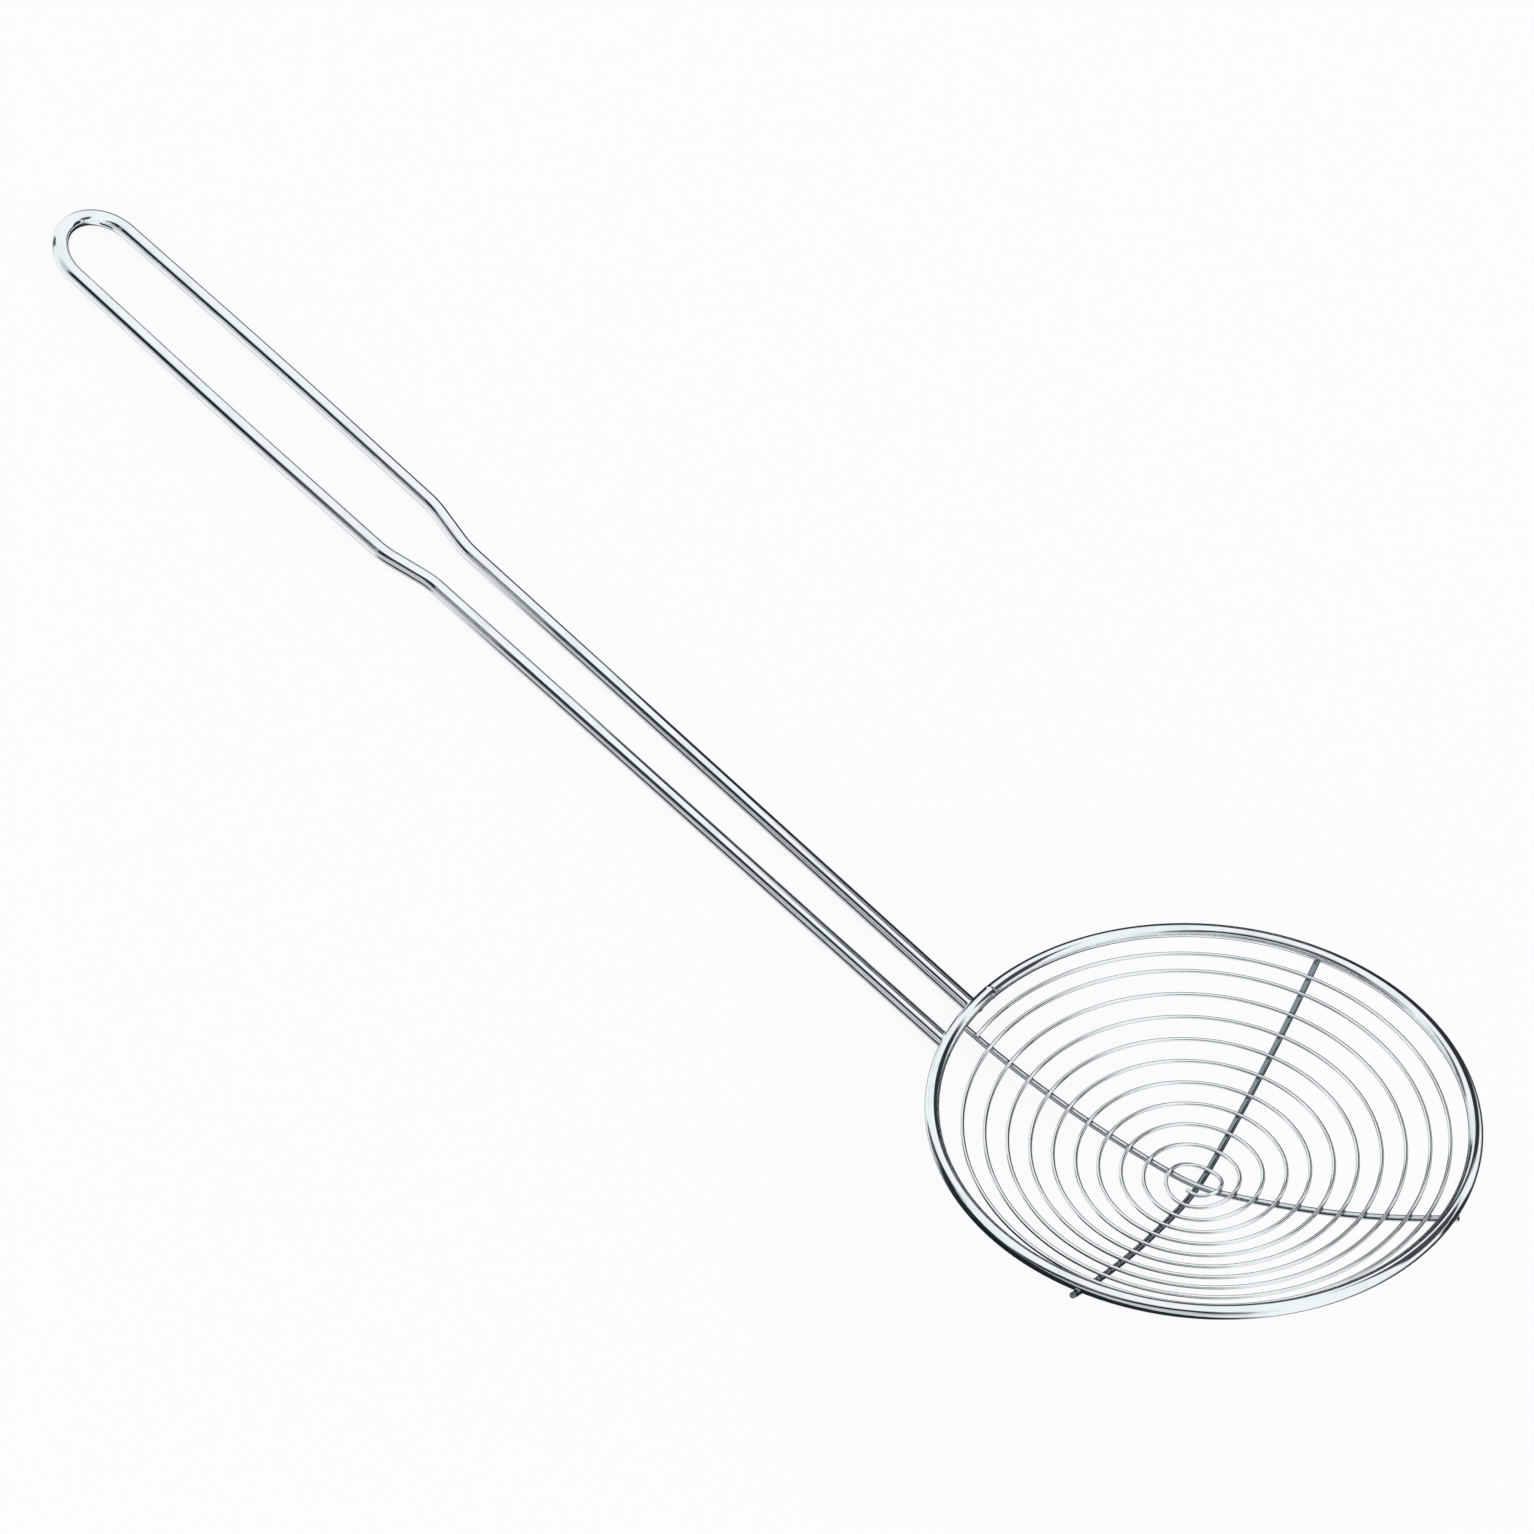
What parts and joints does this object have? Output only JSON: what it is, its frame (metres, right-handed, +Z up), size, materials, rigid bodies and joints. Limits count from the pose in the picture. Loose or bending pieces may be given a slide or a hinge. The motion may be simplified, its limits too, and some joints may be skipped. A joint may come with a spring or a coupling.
{
  "type": "spider skimmer",
  "caption": "Wire spider skimmer: a shallow spiral-wire bowl on crossed ribs under a round rim, with a long hairpin wire handle and hanging loop.",
  "frame": {"origin": "centre of the bounding box at the table, with the skimmer lying at rest: the handle is flat on the table and the bowl is tipped up", "axes": "+X along the handle from the bowl to the hanging loop, +Y across the handle, +Z up from the table"},
  "size_m": [0.4917, 0.1623, 0.0876],
  "materials": {
    "rim_steel": "bright drawn steel wire, chromed and polished",
    "handle_steel": "bright drawn steel wire, chromed and polished",
    "rib_steel": "bright drawn steel wire, chromed and polished",
    "spiral_steel": "bright drawn steel wire, chromed and polished"
  },
  "bodies": {
    "root": {"rim_ring": "rim_steel", "handle_wire": "handle_steel", "long_rib": "rib_steel", "cross_rib": "rib_steel", "spiral_wire": "spiral_steel"}
  },
  "joints": []
}
